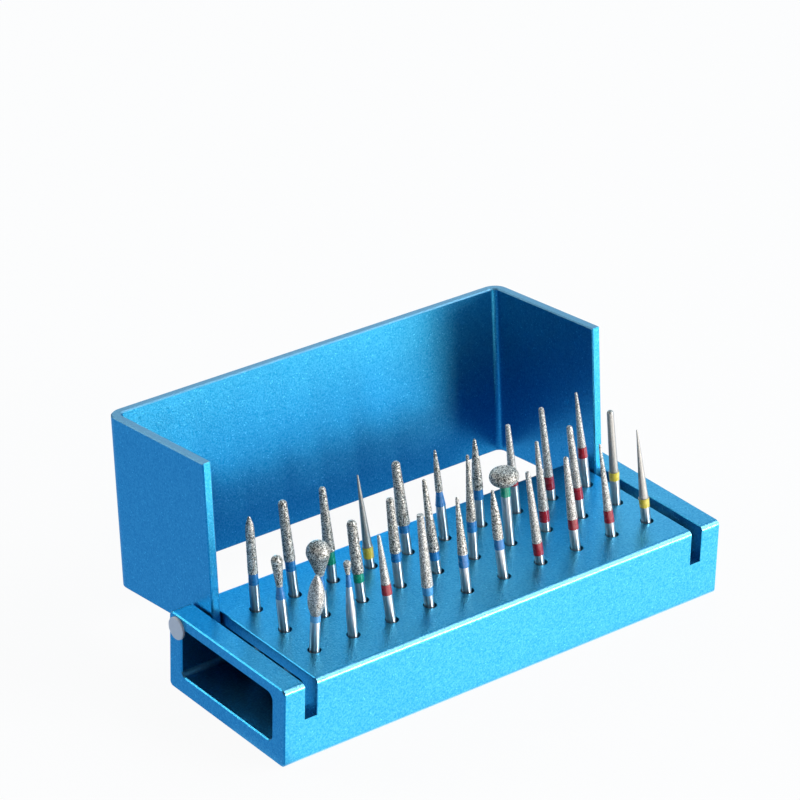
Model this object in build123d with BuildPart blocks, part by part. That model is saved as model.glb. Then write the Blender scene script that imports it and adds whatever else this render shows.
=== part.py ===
"""Dental bur block: a hollow extruded base that holds thirty friction-grip burs, and a hinged cover.

X runs along the block, the front faces -Y and Z points up. The origin is the middle of the
underside. The cover is modelled open, leaning back behind the burs. All sizes are millimetres.
"""

import os
from math import acos, atan2, cos, hypot, pi, radians, sin
from typing import NamedTuple

from build123d import *

# Base extrusion
base_length = 88.0
base_depth = 29.8
base_height = 13.6
deck_wall = 2.0
floor_wall = 3.2
front_wall = 3.2
back_wall = 3.2
outer_edge_radius = 0.9
tunnel_corner_radius = 1.2
end_edge_break = 0.2

# Bur holes in the deck
columns = 10
rows = 3
first_column_from_left = 10.9
last_column_from_right = 9.6
front_row_from_front = 7.1
back_row_from_back = 7.8
shank_diameter = 1.6
hole_clearance = 0.6

# Slots for the cover's arms
slot_width = 2.2
slot_from_end = 5.0
slot_depth = 6.2
slot_edge_break = 0.1

# Cover sheet
sheet = 1.6
bend_inner_radius = 1.0
closed_cover_height = 20.6
arm_floor_gap = 0.3
arm_back_gap = 0.1
arm_heel_radius = 1.5
cover_edge_break = 0.2
open_angle = 95.6

# Hinge pins
pin_from_back = 2.15
pin_from_top = 2.3
pin_diameter = 1.6
pin_running_clearance = 0.06
pin_head_diameter = 3.8
pin_head_height = 0.4
pin_grip = 2.5
pin_edge_break = 0.15

# Burs, which all lean the same way in their loose holes
lean_heading = 138.0
foot_edge_break = 0.2
band_proud = 0.04
flat_tip_break = 0.1
flame_fullness = 0.33
torpedo_nose = 0.3
torpedo_draft = 0.88
football_waist = 0.38

left_end = -base_length / 2
front_face = -base_depth / 2
back_face = base_depth / 2
column_pitch = (base_length - first_column_from_left - last_column_from_right) / (columns - 1)
row_pitch = (base_depth - front_row_from_front - back_row_from_back) / (rows - 1)
hole_diameter = shank_diameter + hole_clearance
slot_floor = base_height - slot_depth
pivot_y = back_face - pin_from_back
pivot_z = base_height - pin_from_top


class Bur(NamedTuple):
    """One bur: reach is the tip's distance from the deck along the bur, lean is in degrees."""

    shape: str
    reach: float
    lean: float
    head_length: float
    tip_diameter: float
    head_diameter: float
    band: float
    neck_diameter: float
    neck_length: float


# Each row from the left end of the block to the right
front_row = [
    Bur("football", 13.2, -1.0, 6.9, 0.8, 2.65, 1.1, 1.5, 1.1),
    Bur("inverted_cone", 13.1, 5.0, 2.4, 1.25, 0.65, 2.1, 0.6, 6.4),
    Bur("taper", 15.1, 8.5, 8.6, 0.55, 1.5, 1.8, 1.48, 1.8),
    Bur("flat_taper", 16.1, 6.5, 12.6, 1.1, 1.85, 1.5, 1.6, 1.5),
    Bur("taper", 16.7, 7.0, 10.0, 0.5, 1.65, 2.3, 1.5, 2.3),
    Bur("flame", 15.5, 8.5, 8.6, 0.5, 1.65, 1.8, 1.45, 1.8),
    Bur("taper", 16.4, 9.0, 12.7, 0.8, 1.6, 2.2, 1.55, 2.2),
    Bur("taper", 16.6, 8.0, 11.1, 0.85, 1.7, 1.85, 1.55, 1.85),
    Bur("taper", 16.5, 9.0, 11.9, 0.35, 1.45, 2.2, 1.45, 2.2),
    Bur("taper", 16.7, 8.0, 12.4, 0.25, 1.5, 1.6, 1.68, 1.6),
]
middle_row = [
    Bur("pear", 13.0, 6.0, 5.3, 1.8, 1.05, 2.1, 0.85, 2.3),
    Bur("pear", 13.0, 5.0, 6.0, 3.8, 1.2, 2.5, 0.95, 3.0),
    Bur("taper", 14.2, 7.5, 9.2, 1.6, 1.9, 1.6, 1.55, 1.6),
    Bur("taper", 15.7, 7.0, 9.6, 1.2, 1.85, 1.6, 1.55, 1.6),
    Bur("taper", 16.5, 8.5, 12.7, 0.7, 1.85, 1.6, 1.55, 1.6),
    Bur("taper", 18.4, 5.0, 11.7, 0.5, 1.65, 1.9, 1.5, 1.9),
    Bur("wheel", 13.4, 6.5, 2.6, 1.9, 4.8, 2.1, 1.55, 2.1),
    Bur("taper", 16.1, 7.5, 12.4, 0.65, 1.7, 2.1, 1.55, 2.1),
    Bur("taper", 16.6, 9.0, 11.1, 1.0, 1.5, 2.2, 1.5, 2.2),
    Bur("taper", 17.0, 6.0, 11.2, 1.1, 1.45, 1.5, 1.7, 1.5),
]
back_row = [
    Bur("torpedo", 16.4, 4.0, 9.9, 0.5, 1.6, 1.9, 1.4, 2.2),
    Bur("taper", 16.8, 7.0, 10.5, 1.4, 1.85, 1.8, 1.55, 1.8),
    Bur("taper", 16.7, 6.5, 11.3, 1.1, 1.9, 2.3, 1.55, 2.3),
    Bur("taper", 16.4, 8.0, 12.8, 0.3, 1.5, 2.0, 1.68, 2.0),
    Bur("taper", 16.4, 8.0, 11.2, 1.4, 2.1, 1.5, 1.55, 1.5),
    Bur("flame", 16.0, 7.0, 7.4, 0.4, 1.2, 2.55, 0.95, 2.55),
    Bur("flame", 15.6, 5.5, 9.0, 0.5, 1.7, 1.8, 1.5, 1.8),
    Bur("flat_taper", 15.8, 7.0, 9.2, 0.8, 1.5, 1.7, 1.5, 1.7),
    Bur("taper", 16.7, 8.0, 12.6, 0.9, 1.5, 2.35, 1.5, 2.35),
    Bur("taper", 17.1, 8.0, 10.0, 0.45, 1.4, 1.9, 1.45, 1.9),
]


def hole_point(row: int, column: int) -> Vector:
    """Centre of a bur hole, halfway through the deck."""
    x = left_end + first_column_from_left + column * column_pitch
    y = front_face + front_row_from_front + row * row_pitch
    return Vector(x, y, base_height - deck_wall / 2)


def is_outer_edge(edge: Edge) -> bool:
    """Tell the edges on the base's top, front and back from those inside its walls."""
    above = edge.center().Z > base_height - deck_wall / 2
    outside = abs(edge.center().Y) > base_depth / 2 - deck_wall / 2
    return above or outside


def make_base_block() -> Part:
    """Hollow extrusion, open at both ends, drilled, slotted and bored for the pins."""
    tunnel_depth = base_depth - front_wall - back_wall
    tunnel_height = base_height - deck_wall - floor_wall
    tunnel_y = (front_wall - back_wall) / 2
    tunnel_z = floor_wall + tunnel_height / 2
    with BuildPart() as block:
        with BuildSketch(Plane.YZ.offset(left_end)):
            with Locations((0, base_height / 2)):
                RectangleRounded(base_depth, base_height, outer_edge_radius)
            with Locations((tunnel_y, tunnel_z)):
                RectangleRounded(tunnel_depth, tunnel_height, tunnel_corner_radius, mode=Mode.SUBTRACT)
        extrude(amount=base_length)
        end_faces = block.faces().filter_by(Axis.X)
        chamfer(end_faces.edges(), length=end_edge_break)
        with BuildSketch(Plane.XY.offset(slot_floor)):
            for side in (-1, 1):
                with Locations((side * (base_length / 2 - slot_from_end), 0)):
                    Rectangle(slot_width, 2 * base_depth)
        extrude(amount=base_height, mode=Mode.SUBTRACT)
        inner_end = left_end + slot_from_end - slot_width
        slot_sides = block.faces().filter_by(Axis.X).filter_by_position(Axis.X, inner_end, -inner_end)
        chamfer(slot_sides.edges().filter_by(is_outer_edge), length=slot_edge_break)
        with BuildSketch(Plane.XY.offset(base_height)):
            for row in range(rows):
                for column in range(columns):
                    centre = hole_point(row, column)
                    with Locations((centre.X, centre.Y)):
                        Circle(hole_diameter / 2)
        extrude(amount=-deck_wall, mode=Mode.SUBTRACT)
        bore_depth = slot_from_end + slot_width / 2 + pin_grip
        for end in (Plane.YZ.offset(left_end), Plane.YZ.offset(base_length / 2 - bore_depth)):
            with BuildSketch(end):
                with Locations((pivot_y, pivot_z)):
                    Circle(pin_diameter / 2)
            extrude(amount=bore_depth, mode=Mode.SUBTRACT)
    return block.part


def make_cover() -> Part:
    """One sheet bent into a U: a panel and two arms that hang in the slots."""
    width = base_length - 2 * slot_from_end + sheet
    roof = base_height + closed_cover_height - pivot_z
    arm_end = pivot_z - slot_floor - arm_floor_gap
    reach_back = pin_from_back - arm_back_gap
    reach_front = base_depth - pin_from_back
    lean = radians(open_angle)
    forward = Vector(0, -cos(lean), sin(lean))
    hinge_plane = Plane(origin=(0, pivot_y, pivot_z), x_dir=(1, 0, 0), z_dir=forward)
    with BuildPart() as cover:
        with BuildSketch(hinge_plane.offset(-reach_back)):
            with BuildLine():
                FilletPolyline(
                    (-width / 2, -arm_end),
                    (-width / 2, roof),
                    (width / 2, roof),
                    (width / 2, -arm_end),
                    radius=bend_inner_radius + sheet,
                )
                offset(amount=sheet, side=Side.RIGHT)
            make_face()
        extrude(amount=reach_back + reach_front)
        across_heel = Axis(hinge_plane.origin, hinge_plane.y_dir + hinge_plane.z_dir)
        fillet(cover.edges().filter_by(Axis.X).group_by(across_heel)[0], radius=arm_heel_radius)
        along_bend = Axis(hinge_plane.origin, forward)
        bend_seams = cover.faces().filter_by(GeomType.CYLINDER).edges().filter_by(along_bend)
        cut_edges = cover.edges().filter_by(Axis.X, reverse=True) - bend_seams
        chamfer(cut_edges, length=cover_edge_break)
        with BuildSketch(Plane.YZ.offset(left_end)):
            with Locations((pivot_y, pivot_z)):
                Circle(pin_diameter / 2 + pin_running_clearance)
        extrude(amount=base_length, mode=Mode.SUBTRACT)
    return cover.part


def make_pin(side: int) -> Part:
    """Headed pin: its shank is pressed into the base on both sides of the slot."""
    length = slot_from_end + slot_width / 2 + pin_grip
    end_plane = Plane(
        origin=(side * base_length / 2, pivot_y, pivot_z), x_dir=(0, 1, 0), z_dir=(side, 0, 0)
    )
    with BuildPart() as pin:
        with BuildSketch(end_plane):
            Circle(pin_head_diameter / 2)
        extrude(amount=pin_head_height)
        rim = pin.faces().sort_by(Axis.X)[-1 if side > 0 else 0].edges()
        fillet(rim, radius=pin_edge_break)
        with BuildSketch(end_plane):
            Circle(pin_diameter / 2)
        extrude(amount=-length)
        point = pin.faces().sort_by(Axis.X)[0 if side > 0 else -1].edges()
        chamfer(point, length=pin_edge_break)
    return pin.part


def round_end(radius: float, tip: float) -> None:
    """Quarter arc that closes a head onto the axis."""
    centre = tip - radius
    ThreePointArc(
        (radius, centre),
        (radius * cos(pi / 4), centre + radius * sin(pi / 4)),
        (0, tip),
    )


def draw_taper(bur: Bur, base: float, tip: float) -> float:
    """Straight taper with a round end; a thin one is a needle."""
    radius = bur.tip_diameter / 2
    Line((bur.head_diameter / 2, base), (radius, tip - radius))
    round_end(radius, tip)
    return bur.head_diameter / 2


def draw_flat_taper(bur: Bur, base: float, tip: float) -> float:
    """Straight taper with a flat end."""
    radius = bur.tip_diameter / 2
    Polyline(
        (bur.head_diameter / 2, base),
        (radius, tip - flat_tip_break),
        (radius - flat_tip_break, tip),
        (0, tip),
    )
    return bur.head_diameter / 2


def draw_flame(bur: Bur, base: float, tip: float) -> float:
    """Bulging taper that runs to a fine point."""
    radius = bur.tip_diameter / 2
    middle = bur.head_diameter * flame_fullness + radius / 2
    ThreePointArc(
        (bur.head_diameter / 2, base), (middle, (base + tip) / 2), (radius, tip - radius)
    )
    round_end(radius, tip)
    return bur.head_diameter / 2


def draw_torpedo(bur: Bur, base: float, tip: float) -> float:
    """Nearly parallel sides and a long pointed end."""
    radius = bur.tip_diameter / 2
    shoulder = tip - bur.head_length * torpedo_nose
    shoulder_radius = bur.head_diameter / 2 * torpedo_draft
    Line((bur.head_diameter / 2, base), (shoulder_radius, shoulder))
    bulge = (shoulder_radius + radius) / 2 + radius / 2
    ThreePointArc((shoulder_radius, shoulder), (bulge, (shoulder + tip) / 2), (radius, tip - radius))
    round_end(radius, tip)
    return bur.head_diameter / 2


def draw_pear(bur: Bur, base: float, tip: float) -> float:
    """Ball whose flanks run down, tangent to it, to the neck."""
    radius = bur.tip_diameter / 2
    foot_radius = bur.head_diameter / 2
    centre = tip - radius
    drop = centre - base
    touch = acos(radius / hypot(foot_radius, drop)) - atan2(drop, foot_radius)
    halfway = (touch + pi / 2) / 2
    touch_point = (radius * cos(touch), centre + radius * sin(touch))
    Line((foot_radius, base), touch_point)
    ThreePointArc(
        touch_point, (radius * cos(halfway), centre + radius * sin(halfway)), (0, tip)
    )
    return foot_radius


def draw_football(bur: Bur, base: float, tip: float) -> float:
    """Egg that draws out to a thin round tip."""
    radius = bur.tip_diameter / 2
    waist = (bur.head_diameter / 2, base + bur.head_length * football_waist)
    TangentArc(waist, (bur.neck_diameter / 2, base), tangent=(0, -1))
    TangentArc(waist, (radius, tip - radius), tangent=(0, 1))
    round_end(radius, tip)
    return bur.neck_diameter / 2


def draw_inverted_cone(bur: Bur, base: float, tip: float) -> float:
    """Cone that widens towards a rounded top."""
    radius = bur.tip_diameter / 2
    shoulder = tip - radius
    Line((bur.head_diameter / 2, base), (radius, shoulder))
    round_end(radius, tip)
    return bur.head_diameter / 2


def draw_wheel(bur: Bur, base: float, tip: float) -> float:
    """Thick disc with a full round rim."""
    radius = bur.tip_diameter / 2
    ThreePointArc((radius, base), (bur.head_diameter / 2, (base + tip) / 2), (radius, tip))
    Line((radius, tip), (0, tip))
    return radius


def make_bur(bur: Bur, hole: Vector) -> Part:
    """Turned blank in one piece with its head, standing in its hole with its foot on the floor."""
    heading = radians(lean_heading)
    lean = radians(bur.lean)
    along = Vector(sin(lean) * cos(heading), sin(lean) * sin(heading), cos(lean))
    across = Vector(-sin(heading), cos(heading), 0)
    half_plane = Plane(origin=hole, x_dir=across, z_dir=across.cross(along))
    shank = shank_diameter / 2
    foot_radius = shank - foot_edge_break
    foot_height = floor_wall + foot_radius * abs(sin(lean))
    foot = (foot_height - hole.Z) / cos(lean)
    tip = deck_wall / 2 / cos(lean) + bur.reach
    base = tip - bur.head_length
    neck_end = base - bur.neck_length
    band_end = base - bur.band
    neck = bur.neck_diameter / 2
    band_foot = neck + (shank - neck) * bur.band / bur.neck_length
    with BuildPart() as blank:
        with BuildSketch(half_plane):
            with BuildLine():
                below = [(0, foot), (foot_radius, foot), (shank, foot + foot_edge_break), (shank, neck_end)]
                if bur.neck_length > bur.band:
                    below.append((band_foot, band_end))
                Polyline(*below, (band_foot + band_proud, band_end), (neck + band_proud, base))
                draw = head_shapes[bur.shape]
                head_start = draw(bur, base, tip)
                Line((neck + band_proud, base), (head_start, base))
                Line((0, tip), (0, foot))
            make_face()
        revolve(axis=Axis(hole, along))
    return blank.part


# Each draws a head's outline from its base to its tip, and returns the radius it starts at
head_shapes = {
    "taper": draw_taper,
    "flat_taper": draw_flat_taper,
    "flame": draw_flame,
    "torpedo": draw_torpedo,
    "pear": draw_pear,
    "football": draw_football,
    "inverted_cone": draw_inverted_cone,
    "wheel": draw_wheel,
}

pieces = {
    "base_block": make_base_block(),
    "cover": make_cover(),
    "hinge_pin_left": make_pin(-1),
    "hinge_pin_right": make_pin(1),
}
bur_rows = {"front": front_row, "middle": middle_row, "back": back_row}
for row, row_name in zip(range(rows), bur_rows):
    for column, bur in zip(range(columns), bur_rows[row_name]):
        pieces[f"bur_{row_name}_{column + 1}"] = make_bur(bur, hole_point(row, column))

os.makedirs("parts", exist_ok=True)
for name, piece in pieces.items():
    piece.label = name
    export_step(piece, f"parts/{name}.step")
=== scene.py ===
"""Dental bur block, open: blue anodised base and bent cover, steel pins and thirty diamond burs.

X runs along the block, the front faces -Y and Z points up, with the origin in the middle of the
underside. Blender's lengths are metres; the sections below give sizes in millimetres where they
say so, times MM.
"""

import itertools
from math import acos, atan2, cos, hypot, pi, radians, sin
from typing import NamedTuple

import bpy
import numpy as np
from mathutils import Euler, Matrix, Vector


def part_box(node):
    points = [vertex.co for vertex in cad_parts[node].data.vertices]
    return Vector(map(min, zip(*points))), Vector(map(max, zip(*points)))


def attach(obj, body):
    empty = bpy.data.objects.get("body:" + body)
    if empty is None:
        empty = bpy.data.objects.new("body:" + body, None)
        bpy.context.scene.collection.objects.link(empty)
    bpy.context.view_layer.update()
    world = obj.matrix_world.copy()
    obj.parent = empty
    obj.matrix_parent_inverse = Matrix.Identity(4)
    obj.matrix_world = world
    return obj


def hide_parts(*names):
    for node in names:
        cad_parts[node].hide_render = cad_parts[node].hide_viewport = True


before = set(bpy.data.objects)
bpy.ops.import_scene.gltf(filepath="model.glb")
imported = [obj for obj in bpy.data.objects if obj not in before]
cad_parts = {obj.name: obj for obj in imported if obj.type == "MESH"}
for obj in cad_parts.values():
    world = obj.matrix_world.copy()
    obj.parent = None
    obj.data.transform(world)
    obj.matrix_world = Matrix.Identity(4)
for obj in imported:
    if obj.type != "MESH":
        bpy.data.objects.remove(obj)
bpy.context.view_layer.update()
MM = 0.001

# Camera
# A long lens looks down on the block past its left end, so that the deck, the front face, the
# open end of the tunnel and the inside of the cover all show.
camera_place = Vector((-0.3311, -0.3949, 0.3140))
camera_heading = 39.0
camera_drop = 27.77
camera_roll = 1.48
camera_lens = 169.54

camera_data = bpy.data.cameras.new("camera")
camera_data.lens = camera_lens
camera_data.clip_start = 0.01
camera = bpy.data.objects.new("camera", camera_data)
camera.location = camera_place
level = Euler((radians(90 - camera_drop), 0, radians(-camera_heading))).to_matrix()
camera.rotation_euler = (level @ Euler((0, 0, radians(camera_roll))).to_matrix()).to_euler()
bpy.context.scene.collection.objects.link(camera)
bpy.context.scene.camera = camera


class Signal:
    """A shader value that takes part in arithmetic: each operator adds one Math node."""

    def __init__(self, nodes, socket):
        self.nodes = nodes
        self.socket = socket

    def maths(self, operation, first, second):
        values = {"Value": first, "Value_001": second}
        return self.nodes.add("ShaderNodeMath", {"operation": operation}, values)

    def __add__(self, other):
        return self.maths("ADD", self, other)

    def __radd__(self, other):
        return self.maths("ADD", other, self)

    def __sub__(self, other):
        return self.maths("SUBTRACT", self, other)

    def __rsub__(self, other):
        return self.maths("SUBTRACT", other, self)

    def __mul__(self, other):
        return self.maths("MULTIPLY", self, other)

    def __rmul__(self, other):
        return self.maths("MULTIPLY", other, self)

    def __gt__(self, other):
        return self.maths("GREATER_THAN", self, other)


class Nodes:
    """The nodes of one material or of the world."""

    def __init__(self, owner):
        owner.use_nodes = True
        self.tree = owner.node_tree
        self.tree.nodes.clear()

    def add(self, kind, settings=None, inputs=None, output=None):
        """Adds a node. Settings come first, stops among them, then its sockets by identifier."""
        node = self.tree.nodes.new(kind)
        for name, value in (settings or {}).items():
            if name == "stops":
                ramp = node.color_ramp.elements
                while len(ramp) < len(value):
                    ramp.new(1)
                for element, (position, colour) in zip(ramp, value):
                    element.position = position
                    element.color = colour
            else:
                setattr(node, name, value)
        sockets = {socket.identifier: socket for socket in node.inputs}
        for name, value in (inputs or {}).items():
            if isinstance(value, Signal):
                self.tree.links.new(value.socket, sockets[name])
            else:
                sockets[name].default_value = value
        found = [s for s in node.outputs if s.enabled and output in (None, s.identifier)]
        return Signal(self, found[0]) if found else None

    def blend(self, factor, first, second):
        """Mixes two colours."""
        settings = {"data_type": "RGBA"}
        inputs = {"Factor_Float": factor, "A_Color": first, "B_Color": second}
        return self.add("ShaderNodeMix", settings, inputs, "Result_Color")


# Floor, daylight and softboxes
# A pale matt table top that the eye sees as nearly white. Metal sees another floor, a painted
# reflection: a glow brighter than white in front of the block, and painted blue shade behind it
# and at its left, so the left faces stay dark.
floor_half = 3.0
floor_colour = (0.72, 0.72, 0.73, 1)
floor_roughness = 0.5
white = (1, 1, 1, 1)
white_to_eye = 0.94
# Painted shade that metal sees behind and left of the block, and the glow of the painted
# reflection
painted_shade_in_metal = (0.13, 0.27, 0.44, 1)
painted_reflection_strength = 2.0
front_ends, behind_starts = -0.018, 0.0
right_ends, left_starts = -0.040, -0.045

floor_mesh = bpy.data.meshes.new("floor")
corners = [(-floor_half, -floor_half), (floor_half, -floor_half)]
corners += [(floor_half, floor_half), (-floor_half, floor_half)]
floor_mesh.from_pydata([(x, y, 0) for x, y in corners], [], [(0, 1, 2, 3)])
floor = bpy.data.objects.new("floor", floor_mesh)
bpy.context.scene.collection.objects.link(floor)
floor_material = bpy.data.materials.new("floor")
nodes = Nodes(floor_material)
surface = nodes.add(
    "ShaderNodeBsdfPrincipled", inputs={"Base Color": floor_colour, "Roughness": floor_roughness}
)


def whitened(nodes, plain):
    """Mixes a surface or sky towards plain white where the eye sees it."""
    camera_ray = nodes.add("ShaderNodeLightPath", output="Is Camera Ray")
    glow = nodes.add("ShaderNodeEmission", inputs={"Color": white, "Strength": 1.0})
    inputs = {"Fac": camera_ray * white_to_eye, "Shader": plain, "Shader_001": glow}
    return nodes.add("ShaderNodeMixShader", inputs=inputs)


place = nodes.add("ShaderNodeTexCoord", output="Object")
towards_right = nodes.add("ShaderNodeSeparateXYZ", inputs={"Vector": place}, output="X")
towards_back = nodes.add("ShaderNodeSeparateXYZ", inputs={"Vector": place}, output="Y")
behind = nodes.add(
    "ShaderNodeMapRange",
    inputs={"Value": towards_back, "From Min": front_ends, "From Max": behind_starts},
)
beside = nodes.add(
    "ShaderNodeMapRange",
    inputs={"Value": towards_right, "From Min": right_ends, "From Max": left_starts},
)
behind = behind.maths("MAXIMUM", behind, beside)
# Painted reflection and shade: for metal, a glowing floor, brighter than white in front and
# painted blue shade behind and left of the block
painted_reflection_floor = nodes.add(
    "ShaderNodeEmission",
    inputs={
        "Color": nodes.blend(behind, white, painted_shade_in_metal),
        "Strength": painted_reflection_strength,
    },
)
glossy_ray = nodes.add("ShaderNodeLightPath", output="Is Glossy Ray")
clear_ray = nodes.add("ShaderNodeLightPath", output="Is Transmission Ray")
mirrored = nodes.add(
    "ShaderNodeMixShader",
    inputs={
        "Fac": glossy_ray + clear_ray,
        "Shader": whitened(nodes, surface),
        "Shader_001": painted_reflection_floor,
    },
)
nodes.add("ShaderNodeOutputMaterial", inputs={"Surface": mirrored})
floor_mesh.materials.append(floor_material)

world = bpy.context.scene.world or bpy.data.worlds.new("world")
bpy.context.scene.world = world
nodes = Nodes(world)
direction = nodes.add("ShaderNodeTexCoord", output="Generated")
bright_side = Vector((0.80, 0.20, 0.55)).normalized()
daylight_strength = 0.95
facing = nodes.add(
    "ShaderNodeVectorMath", {"operation": "DOT_PRODUCT"},
    {"Vector": direction, "Vector_001": bright_side}, "Value",
)
daylight = nodes.add(
    "ShaderNodeValToRGB",
    {
        "stops": [
            (0.0, (0.01, 0.01, 0.012, 1)),
            (0.5, (0.04, 0.055, 0.07, 1)),
            (1.0, (0.60, 0.88, 1.10, 1)),
        ]
    },
    {"Fac": 0.5 + facing * 0.5},
)
background = nodes.add(
    "ShaderNodeBackground", inputs={"Color": daylight, "Strength": daylight_strength}
)
nodes.add("ShaderNodeOutputWorld", inputs={"Surface": whitened(nodes, background)})

# Each softbox by its place and width in metres and its power in watts; all face the block
softboxes = {
    "key_softbox": ((0.57, -0.71, 0.28), 0.28, 1.7),
    "low_softbox": ((0.46, -0.87, 0.13), 0.25, 7.5),
    "high_softbox": ((0.60, -0.35, 0.72), 0.40, 3.0),
    "back_softbox": ((0.50, 0.73, 0.45), 0.40, 0.5),
    "left_softbox": ((-0.55, 0.70, 0.50), 0.35, 2.2),
    "near_softbox": ((-0.45, -0.55, 0.75), 0.22, 1.0),
}
for name, (spot, width, power) in softboxes.items():
    lamp = bpy.data.lights.new(name, "AREA")
    lamp.size = width
    lamp.energy = power
    softbox = bpy.data.objects.new(name, lamp)
    softbox.location = spot
    softbox.rotation_euler = (-Vector(spot)).to_track_quat("-Z", "Y").to_euler()
    bpy.context.scene.collection.objects.link(softbox)
bpy.context.scene.view_settings.view_transform = "Standard"


# Base block
# One length of hollow aluminium extrusion, sawn to length, slotted and drilled, then
# bead-blasted and dyed blue in the anodising bath.


def anodised(
    name, grain_mm, grain_depth_mm, roughness, painted_glint_share, painted_highlight=0, sawn_facing=(0, 0, 0)
):
    """Dyed oxide over bead-blasted metal: dents tilt the surface, and a few lighter specks are
    painted glints. Long rounded edges are lightened by a painted highlight, and faces that look
    along sawn_facing, or away, are duller and paler by a painted sheen."""
    deep, pale = (0.010, 0.265, 0.485, 1), (0.064, 0.405, 0.620, 1)
    # Besides deep and pale, these colours are painted light: a glint on a few specks, a highlight
    # on long rounded edges and a sheen on sawn rims
    painted_glint_colour, edge, painted_rim_sheen = (0.14, 0.66, 0.88, 1), (0.50, 0.74, 0.80, 1), (0.19, 0.30, 0.38, 1)
    contrast = 2.6
    painted_glint_cell_mm = 0.16
    drifts_per_metre = 90.0
    material = bpy.data.materials.new(name)
    nodes = Nodes(material)
    place = nodes.add("ShaderNodeTexCoord", output="Object")
    dents = nodes.add(
        "ShaderNodeTexNoise",
        inputs={"Vector": place, "Scale": 1 / (grain_mm * MM), "Detail": 2.0, "Roughness": 0.6},
        output="Fac",
    )
    drift = nodes.add(
        "ShaderNodeTexNoise",
        inputs={"Vector": place, "Scale": drifts_per_metre, "Detail": 1.0},
        output="Fac",
    )
    facets = nodes.add(
        "ShaderNodeTexVoronoi",
        inputs={"Vector": place, "Scale": 1 / (painted_glint_cell_mm * MM)},
        output="Color",
    )
    painted_glint_pick = nodes.add("ShaderNodeSeparateColor", inputs={"Color": facets}, output="Red")
    colour = nodes.blend((dents - 0.5) * contrast + 0.5, deep, pale)
    # Painted glints: a few cells are lightened to a pale cyan
    colour = nodes.blend((painted_glint_pick > 1 - painted_glint_share) * 0.7, colour, painted_glint_colour)
    normal = nodes.add("ShaderNodeTexCoord", output="Normal")
    facing = nodes.add(
        "ShaderNodeVectorMath", {"operation": "DOT_PRODUCT"},
        {"Vector": normal, "Vector_001": sawn_facing}, "Value",
    )
    sawn = facing * facing > 0.4
    steep = nodes.add(
        "ShaderNodeVectorMath", {"operation": "ABSOLUTE"}, {"Vector": normal}, "Vector"
    )
    forward, upward = (
        nodes.add("ShaderNodeSeparateXYZ", inputs={"Vector": steep}, output=axis) for axis in "YZ"
    )
    rounded = steep.maths("MINIMUM", forward, upward) > 0.3
    # Painted highlight: long rounded edges are blended towards a pale cyan
    colour = nodes.blend(rounded * painted_highlight, colour, edge)
    # Painted sheen: the sawn rims are blended towards a paler grey-blue; the lower metallic and
    # higher roughness below are the sawn finish itself
    colour = nodes.blend(sawn * 0.5, colour, painted_rim_sheen)
    bump = nodes.add(
        "ShaderNodeBump",
        inputs={"Strength": 1.0, "Distance": grain_depth_mm * MM, "Height": dents},
    )
    surface = nodes.add(
        "ShaderNodeBsdfPrincipled",
        inputs={
            "Base Color": colour,
            "Metallic": 1.0 - sawn * 0.3,
            "Roughness": roughness + drift * 0.06 + sawn * 0.15,
            "Coat Weight": 0.1,
            "Coat Roughness": 0.45,
            "Normal": bump,
        },
    )
    nodes.add("ShaderNodeOutputMaterial", inputs={"Surface": surface})
    return material


def dress(node_name, material):
    """Puts a material on a CAD node in place of its own."""
    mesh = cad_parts[node_name].data
    mesh.materials.clear()
    mesh.materials.append(material)


dress("base_block", anodised("blasted_block", 0.30, 0.050, 0.32, 0.005, painted_highlight=0.25))

# Cover
# One strip of aluminium sheet bent into a U, blasted and dyed with the block. It swings on two
# pins and stands open behind the burs.
cover_lean = radians(5.6)
rim_facing = (0, sin(cover_lean), cos(cover_lean))
dress("cover", anodised("blasted_cover", 0.30, 0.036, 0.27, 0.014, sawn_facing=rim_facing))

# Hinge pins
# Two short steel pins with flat heads, pressed into the ends of the block through the cover's
# arms. The heads are turned and left dull, so they are written as only partly metallic.
pin_brushing_per_metre = 2500.0
pin_material = bpy.data.materials.new("turned_pin_steel")
nodes = Nodes(pin_material)
place = nodes.add("ShaderNodeTexCoord", output="Object")
brushing = nodes.add(
    "ShaderNodeTexNoise",
    inputs={"Vector": place, "Scale": pin_brushing_per_metre, "Detail": 3.0},
    output="Fac",
)
bump = nodes.add(
    "ShaderNodeBump", inputs={"Strength": 0.6, "Distance": 0.01 * MM, "Height": brushing}
)
surface = nodes.add(
    "ShaderNodeBsdfPrincipled",
    inputs={
        "Base Color": (0.84, 0.78, 0.79, 1),
        "Metallic": 0.3,
        "Roughness": 0.40 + brushing * 0.2,
        "Normal": bump,
    },
)
nodes.add("ShaderNodeOutputMaterial", inputs={"Surface": surface})
for side in ("left", "right"):
    dress(f"hinge_pin_{side}", pin_material)

# Burs
# Each bur is one turned stainless blank. Its head is coated with diamond grains bonded in
# nickel, and a painted ring under the head gives the grade of the grains.
column_pitch = 7.5
row_pitch = 7.45
first_column_from_left = 10.9
front_row_from_front = 7.1
deck_wall = 2.0
floor_wall = 3.2
shank_diameter = 1.6
foot_edge_break = 0.2
band_proud = 0.04
flat_tip_break = 0.1
lean_heading = 138.0
flame_fullness = 0.33
torpedo_nose = 0.3
torpedo_draft = 0.88
football_waist = 0.38
sharp_from = 35.0


class Bur(NamedTuple):
    """One bur, in millimetres: reach is the tip's distance from the deck, lean is in degrees."""

    band_colour: str
    shape: str
    reach: float
    lean: float
    head_length: float
    tip_diameter: float
    head_diameter: float
    band: float
    neck_diameter: float
    neck_length: float


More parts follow.
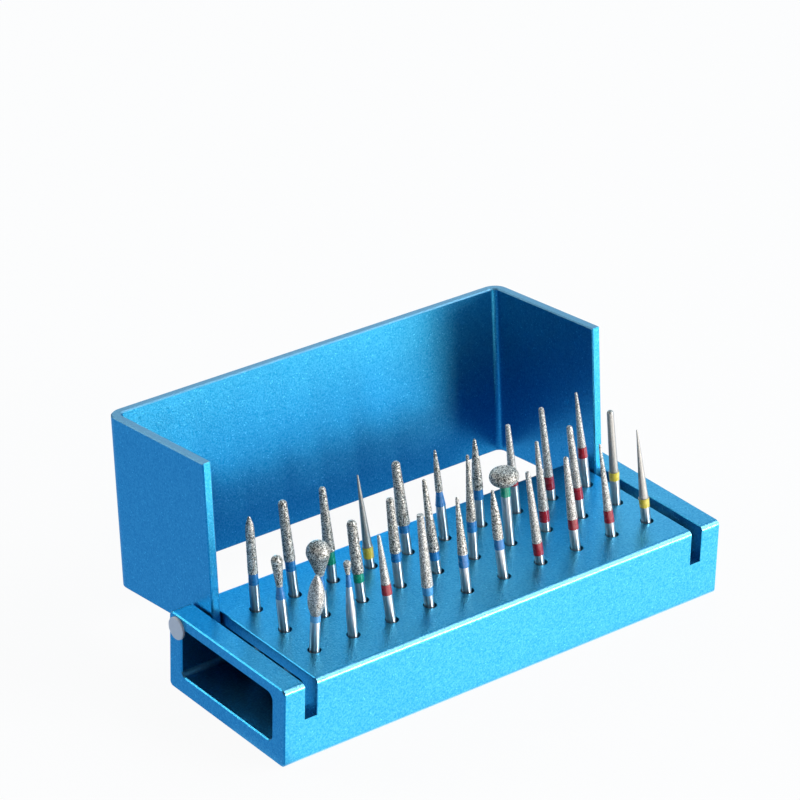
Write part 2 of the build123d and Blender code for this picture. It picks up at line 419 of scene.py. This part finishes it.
# Each row from the left end of the block to the right
front_row = [
    Bur("light_blue", "football", 13.2, -1.0, 6.9, 0.8, 2.65, 1.1, 1.5, 1.1),
    Bur("blue", "inverted_cone", 13.1, 5.0, 2.4, 1.25, 0.65, 2.1, 0.6, 6.4),
    Bur("red", "taper", 15.1, 8.5, 8.6, 0.55, 1.5, 1.8, 1.48, 1.8),
    Bur("light_blue", "flat_taper", 16.1, 6.5, 12.6, 1.1, 1.85, 1.5, 1.6, 1.5),
    Bur("blue", "taper", 16.7, 7.0, 10.0, 0.5, 1.65, 2.3, 1.5, 2.3),
    Bur("blue", "flame", 15.5, 8.5, 8.6, 0.5, 1.65, 1.8, 1.45, 1.8),
    Bur("red", "taper", 16.4, 9.0, 12.7, 0.8, 1.6, 2.2, 1.55, 2.2),
    Bur("red", "taper", 16.6, 8.0, 11.1, 0.85, 1.7, 1.85, 1.55, 1.85),
    Bur("red", "taper", 16.5, 9.0, 11.9, 0.35, 1.45, 2.2, 1.45, 2.2),
    Bur("yellow", "taper", 16.7, 8.0, 12.4, 0.25, 1.5, 1.6, 1.68, 1.6),
]
middle_row = [
    Bur("blue", "pear", 13.0, 6.0, 5.3, 1.8, 1.05, 2.1, 0.85, 2.3),
    Bur("blue", "pear", 13.0, 5.0, 6.0, 3.8, 1.2, 2.5, 0.95, 3.0),
    Bur("green", "taper", 14.2, 7.5, 9.2, 1.6, 1.9, 1.6, 1.55, 1.6),
    Bur("blue", "taper", 15.7, 7.0, 9.6, 1.2, 1.85, 1.6, 1.55, 1.6),
    Bur("blue", "taper", 16.5, 8.5, 12.7, 0.7, 1.85, 1.6, 1.55, 1.6),
    Bur("blue", "taper", 18.4, 5.0, 11.7, 0.5, 1.65, 1.9, 1.5, 1.9),
    Bur("green", "wheel", 13.4, 6.5, 2.6, 1.9, 4.8, 2.1, 1.55, 2.1),
    Bur("red", "taper", 16.1, 7.5, 12.4, 0.65, 1.7, 2.1, 1.55, 2.1),
    Bur("red", "taper", 16.6, 9.0, 11.1, 1.0, 1.5, 2.2, 1.5, 2.2),
    Bur("yellow", "taper", 17.0, 6.0, 11.2, 1.1, 1.45, 1.5, 1.7, 1.5),
]
back_row = [
    Bur("blue", "torpedo", 16.4, 4.0, 9.9, 0.5, 1.6, 1.9, 1.4, 2.2),
    Bur("blue", "taper", 16.8, 7.0, 10.5, 1.4, 1.85, 1.8, 1.55, 1.8),
    Bur("green", "taper", 16.7, 6.5, 11.3, 1.1, 1.9, 2.3, 1.55, 2.3),
    Bur("yellow", "taper", 16.4, 8.0, 12.8, 0.3, 1.5, 2.0, 1.68, 2.0),
    Bur("blue", "taper", 16.4, 8.0, 11.2, 1.4, 2.1, 1.5, 1.55, 1.5),
    Bur("blue", "flame", 16.0, 7.0, 7.4, 0.4, 1.2, 2.55, 0.95, 2.55),
    Bur("blue", "flame", 15.6, 5.5, 9.0, 0.5, 1.7, 1.8, 1.5, 1.8),
    Bur("red", "flat_taper", 15.8, 7.0, 9.2, 0.8, 1.5, 1.7, 1.5, 1.7),
    Bur("red", "taper", 16.7, 8.0, 12.6, 0.9, 1.5, 2.35, 1.5, 2.35),
    Bur("red", "taper", 17.1, 8.0, 10.0, 0.45, 1.4, 1.9, 1.45, 1.9),
]


def arc(start, middle, end, count=24):
    """Points on the circle through three points, at even angles from start to end."""
    (ax, ay), (bx, by), (cx, cy) = start, middle, end
    twice = 2 * (ax * (by - cy) + bx * (cy - ay) + cx * (ay - by))
    a, b, c = ax * ax + ay * ay, bx * bx + by * by, cx * cx + cy * cy
    x = (a * (by - cy) + b * (cy - ay) + c * (ay - by)) / twice
    y = (a * (cx - bx) + b * (ax - cx) + c * (bx - ax)) / twice
    radius = hypot(ax - x, ay - y)
    first, last = atan2(ay - y, ax - x), atan2(cy - y, cx - x)
    angles = np.linspace(first, last, count)
    return [(x + radius * cos(angle), y + radius * sin(angle)) for angle in angles]


def round_end(radius, tip):
    """Quarter circle of the given radius that ends on the axis at tip."""
    angles = np.linspace(0, pi / 2, 12)
    return [(radius * cos(angle), tip - radius + radius * sin(angle)) for angle in angles]


def taper(bur, base, tip):
    """Straight line to a round end."""
    return [(bur.head_diameter / 2, base)] + round_end(bur.tip_diameter / 2, tip)


def flat_taper(bur, base, tip):
    """Straight line to a flat end with a small break."""
    radius = bur.tip_diameter / 2
    edge = [(radius, tip - flat_tip_break), (radius - flat_tip_break, tip)]
    return [(bur.head_diameter / 2, base)] + edge + [(0, tip)]


def flame(bur, base, tip):
    """One bulging arc to a small round end."""
    radius = bur.tip_diameter / 2
    bulge = (bur.head_diameter * flame_fullness + radius / 2, (base + tip) / 2)
    flank = arc((bur.head_diameter / 2, base), bulge, (radius, tip - radius))
    return flank + round_end(radius, tip)


def torpedo(bur, base, tip):
    """Nearly parallel sides, then an arc to a small round end."""
    radius = bur.tip_diameter / 2
    shoulder = (bur.head_diameter / 2 * torpedo_draft, tip - bur.head_length * torpedo_nose)
    bulge = ((shoulder[0] + radius) / 2 + radius / 2, (shoulder[1] + tip) / 2)
    nose = arc(shoulder, bulge, (radius, tip - radius))
    return [(bur.head_diameter / 2, base)] + nose + round_end(radius, tip)


def pear(bur, base, tip):
    """Ball whose flanks are the tangents from the neck."""
    radius = bur.tip_diameter / 2
    foot = bur.head_diameter / 2
    drop = tip - radius - base
    touch = acos(radius / hypot(foot, drop)) - atan2(drop, foot)
    angles = np.linspace(touch, pi / 2, 40)
    ball = [(radius * cos(angle), tip - radius + radius * sin(angle)) for angle in angles]
    return [(foot, base)] + ball


def football(bur, base, tip):
    """Two arcs that meet at the widest place, the upper one drawn out to a round end."""
    half, radius = bur.head_diameter / 2, bur.tip_diameter / 2
    widest = base + bur.head_length * football_waist
    outline = []
    for end_radius, end in ((bur.neck_diameter / 2, base), (radius, tip - radius)):
        across, rise = half - end_radius, end - widest
        swell = (across**2 + rise**2) / (2 * across)
        angles = np.linspace(0, atan2(rise, swell - across), 24)
        flank = [(half - swell + swell * cos(a), widest + swell * sin(a)) for a in angles]
        outline += flank if outline else flank[:0:-1]
    return outline + round_end(radius, tip)


def wheel(bur, base, tip):
    """Flat disc with a full round rim."""
    radius = bur.tip_diameter / 2
    rim = arc((radius, base), (bur.head_diameter / 2, (base + tip) / 2), (radius, tip), 40)
    return rim + [(0, tip)]


head_shapes = {
    "taper": taper,
    "flat_taper": flat_taper,
    "flame": flame,
    "torpedo": torpedo,
    "pear": pear,
    "football": football,
    "inverted_cone": taper,
    "wheel": wheel,
}


def spread(points, spacing):
    """The same outline with points at even distances along it, no further apart than spacing."""
    points = np.array(points)
    lengths = np.hypot(*np.diff(points, axis=0).T)
    along = np.concatenate([[0], np.cumsum(lengths)])
    even = np.linspace(0, along[-1], int(along[-1] / spacing) + 2)
    return np.column_stack([np.interp(even, along, column) for column in points.T])


def grain_heights(points, grain, dice):
    """One grain at random in each cell of a cubic lattice; height falls from 1 over a grain's
    centre to 0 at one cell's distance."""
    repeat = 16
    shifts = dice.random((repeat, repeat, repeat, 3))
    cells = np.floor(points / grain).astype(int)
    nearest = np.full(len(points), np.inf)
    for step in itertools.product((-1, 0, 1), repeat=3):
        around = cells + step
        centres = (around + shifts[tuple((around % repeat).T)]) * grain
        nearest = np.minimum(nearest, np.linalg.norm(points - centres, axis=1))
    return 1 - np.clip(nearest / grain, 0, 1)


# Grain size and height of each grade, in millimetres
grades = {
    "blue": (0.17, 0.09),
    "light_blue": (0.13, 0.06),
    "green": (0.20, 0.11),
    "red": (0.13, 0.06),
    "yellow": (0.10, 0.008),
}
grid_spacing = 0.075
apex_radius = 0.03
nickel_level = 0.55


def lathe(rings, around, turn):
    """Surface of revolution: every ring is (radius, height), turned through equal angles."""
    angles = np.arange(around) * 2 * pi / around + turn
    radius = rings[:, :1] * np.ones(around)
    x = radius * np.cos(angles)
    y = radius * np.sin(angles)
    z = rings[:, 1:] * np.ones(around)
    return np.stack([x, y, z], axis=2)


def quads(ring_count, around):
    """Corner numbers of the four-sided faces between neighbouring rings, closed round."""
    ring, side = np.meshgrid(np.arange(ring_count - 1), np.arange(around), indexing="ij")
    beside = (side + 1) % around
    low, high = ring * around, (ring + 1) * around
    return np.stack([low + side, low + beside, high + beside, high + side], axis=2).reshape(-1, 4)


def bur_mesh(name, bur, hole, materials, seed):
    """Lathe of the blank and its head, grains raised on the head along its outward normals, then
    leant over in its hole."""
    heading, lean = radians(lean_heading), radians(bur.lean)
    foot_radius = shank_diameter / 2 - foot_edge_break
    foot = (floor_wall + foot_radius * abs(sin(lean)) - hole[2]) / cos(lean)
    tip = deck_wall / 2 / cos(lean) + bur.reach
    base = tip - bur.head_length
    shank, neck = shank_diameter / 2, bur.neck_diameter / 2
    band_foot = neck + (shank - neck) * bur.band / bur.neck_length
    blank = [(foot_radius, foot), (shank, foot + foot_edge_break), (shank, base - bur.neck_length)]
    if bur.neck_length > bur.band:
        blank.append((band_foot, base - bur.band))
    band = [(band_foot + band_proud, base - bur.band), (neck + band_proud, base)]
    head = spread(head_shapes[bur.shape](bur, base, tip)[:-1], grid_spacing)
    head = head[head[:, 0] > apex_radius]
    rings = np.vstack([blank, band, head])
    around = int(2 * pi * rings[:, 0].max() / grid_spacing)
    dice = np.random.default_rng(seed)
    turn = dice.random() * 2 * pi
    grid = lathe(rings, around, turn)
    grain, height = grades[bur.band_colour]
    coated = slice(len(blank) + len(band), None)
    on_head = grid[coated].reshape(-1, 3)
    raised = grain_heights(on_head + dice.random(3), grain, dice).reshape(-1, around)
    slope = np.gradient(head, axis=0)
    outward = np.column_stack([slope[:, 1], -slope[:, 0]])
    outward /= np.linalg.norm(outward, axis=1)[:, None]
    grid[coated] += lathe(outward, around, turn) * ((raised - nickel_level) * height)[:, :, None]
    grains = np.zeros(grid.shape[:2])
    grains[coated] = raised
    ends = np.array([[0, 0, foot], [0, 0, tip]])
    local = np.vstack([grid.reshape(-1, 3), ends])
    along = np.array([sin(lean) * cos(heading), sin(lean) * sin(heading), cos(lean)])
    across = np.array([-sin(heading), cos(heading), 0])
    turned = np.stack([np.cross(across, along), across, along])
    points = (local @ turned + hole) * MM
    count = len(rings)
    walls = quads(count, around)
    side = np.arange(around)
    beside = (side + 1) % around
    last = (count - 1) * around
    foot_fan = np.column_stack([beside, side, np.full(around, count * around)])
    tip_fan = np.column_stack([last + side, last + beside, np.full(around, count * around + 1)])
    mesh = bpy.data.meshes.new(name)
    mesh.from_pydata(points, [], [*walls.tolist(), *foot_fan.tolist(), *tip_fan.tolist()])
    for material in materials:
        mesh.materials.append(material)
    finish = np.zeros(count - 1, int)
    finish[len(blank):] = 1
    finish[len(blank) + len(band) - 1:] = 2
    slots = np.concatenate([np.repeat(finish, around), np.zeros(around, int), np.full(around, 2)])
    mesh.polygons.foreach_set("material_index", slots)
    attribute = mesh.attributes.new("grains", "FLOAT", "POINT")
    attribute.data.foreach_set("value", np.append(grains.ravel(), [0, 0.5]))
    mesh.shade_smooth()
    mesh.set_sharp_from_angle(angle=radians(sharp_from))
    return mesh


def steel_material():
    """Ground stainless steel: rings too fine to see stretch each reflection along the shank."""
    material = bpy.data.materials.new("ground_steel")
    nodes = Nodes(material)
    surface = nodes.add(
        "ShaderNodeBsdfPrincipled",
        inputs={
            "Base Color": (0.70, 0.68, 0.67, 1),
            "Metallic": 1.0,
            "Roughness": 0.31,
            "Anisotropic": 0.92,
            "Anisotropic Rotation": 0.25,
        },
    )
    nodes.add("ShaderNodeOutputMaterial", inputs={"Surface": surface})
    return material


def band_material(name, colour):
    """Baked paint, a little uneven, on the neck."""
    mottle_per_metre = 1500.0
    material = bpy.data.materials.new(name)
    nodes = Nodes(material)
    place = nodes.add("ShaderNodeTexCoord", output="Object")
    mottle = nodes.add(
        "ShaderNodeTexNoise",
        inputs={"Vector": place, "Scale": mottle_per_metre, "Detail": 2.0},
        output="Fac",
    )
    darker = (*(0.75 * value for value in colour), 1)
    paint = nodes.blend(mottle, darker, (*colour, 1))
    bump = nodes.add(
        "ShaderNodeBump", inputs={"Strength": 0.4, "Distance": 0.01 * MM, "Height": mottle}
    )
    surface = nodes.add(
        "ShaderNodeBsdfPrincipled",
        inputs={
            "Base Color": paint,
            "Roughness": 0.20 + mottle * 0.15,
            "Coat Weight": 0.7,
            "Normal": bump,
        },
    )
    nodes.add("ShaderNodeOutputMaterial", inputs={"Surface": surface})
    return material


def grit_material(name, grain_mm, painted_sparkle, nickel_and_shade, crest, metallic):
    """Diamond grains in nickel: dark between grains, partly the nickel and partly painted shade in
    the hollows, and each crest with a brightness of its own, a painted glint.
    """
    fine_per_metre = 6000.0
    material = bpy.data.materials.new(name)
    nodes = Nodes(material)
    place = nodes.add("ShaderNodeTexCoord", output="Object")
    grains = nodes.add("ShaderNodeAttribute", {"attribute_name": "grains"}, output="Fac")
    fine = nodes.add(
        "ShaderNodeTexNoise",
        inputs={"Vector": place, "Scale": fine_per_metre, "Detail": 2.0},
        output="Fac",
    )
    facets = nodes.add(
        "ShaderNodeTexVoronoi",
        inputs={"Vector": place, "Scale": 1 / (grain_mm * MM)},
        output="Color",
    )
    facet = nodes.add("ShaderNodeSeparateColor", inputs={"Color": facets}, output="Red")
    # Painted shade and glints: colour darkens down into the hollows between grains, and each grain
    # cell gets a random painted glint
    height = (grains - 0.22) * 1.5 + (facet - 0.5) * painted_sparkle + (fine - 0.5) * 0.6
    colour = nodes.blend(height, nickel_and_shade, crest)
    bump = nodes.add(
        "ShaderNodeBump", inputs={"Strength": 0.8, "Distance": 0.02 * MM, "Height": fine}
    )
    surface = nodes.add(
        "ShaderNodeBsdfPrincipled",
        inputs={
            "Base Color": colour,
            "Metallic": metallic,
            "Roughness": 0.25 + fine * 0.25,
            "Normal": bump,
        },
    )
    nodes.add("ShaderNodeOutputMaterial", inputs={"Surface": surface})
    return material


steel = steel_material()
bands = {
    "blue": band_material("blue_band", (0.02, 0.21, 0.54)),
    "light_blue": band_material("light_blue_band", (0.09, 0.38, 0.74)),
    "red": band_material("red_band", (0.40, 0.010, 0.02)),
    "green": band_material("green_band", (0.005, 0.32, 0.18)),
    "yellow": band_material("yellow_band", (0.86, 0.67, 0.07)),
}
medium_grit = grit_material(
    "medium_grit", 0.13, 1.3, (0.05, 0.045, 0.036, 1), (0.94, 0.88, 0.79, 1), 0.5
)
fine_grit = grit_material(
    "fine_grit", 0.11, 1.1, (0.15, 0.14, 0.12, 1), (0.98, 0.93, 0.87, 1), 0.45
)
polish_grit = grit_material(
    "extra_fine_grit", 0.08, 0.2, (0.34, 0.32, 0.29, 1), (0.56, 0.54, 0.50, 1), 0.8
)
coats = {
    "blue": medium_grit,
    "light_blue": fine_grit,
    "green": medium_grit,
    "red": fine_grit,
    "yellow": polish_grit,
}

block_low, block_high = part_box("base_block")
left_end, front_face = block_low.x / MM, block_low.y / MM
deck = block_high.z / MM
rows = {"front": front_row, "middle": middle_row, "back": back_row}
for row, (row_name, burs) in enumerate(rows.items()):
    for column, bur in enumerate(burs):
        hole = np.array([
            left_end + first_column_from_left + column * column_pitch,
            front_face + front_row_from_front + row * row_pitch,
            deck - deck_wall / 2,
        ])
        node = f"bur_{row_name}_{column + 1}"
        materials = [steel, bands[bur.band_colour], coats[bur.band_colour]]
        mesh = bur_mesh(f"diamond_{node}", bur, hole, materials, seed=row * len(burs) + column)
        piece = bpy.data.objects.new(f"diamond_{node}", mesh)
        bpy.context.scene.collection.objects.link(piece)
        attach(piece, "base")
        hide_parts(node)
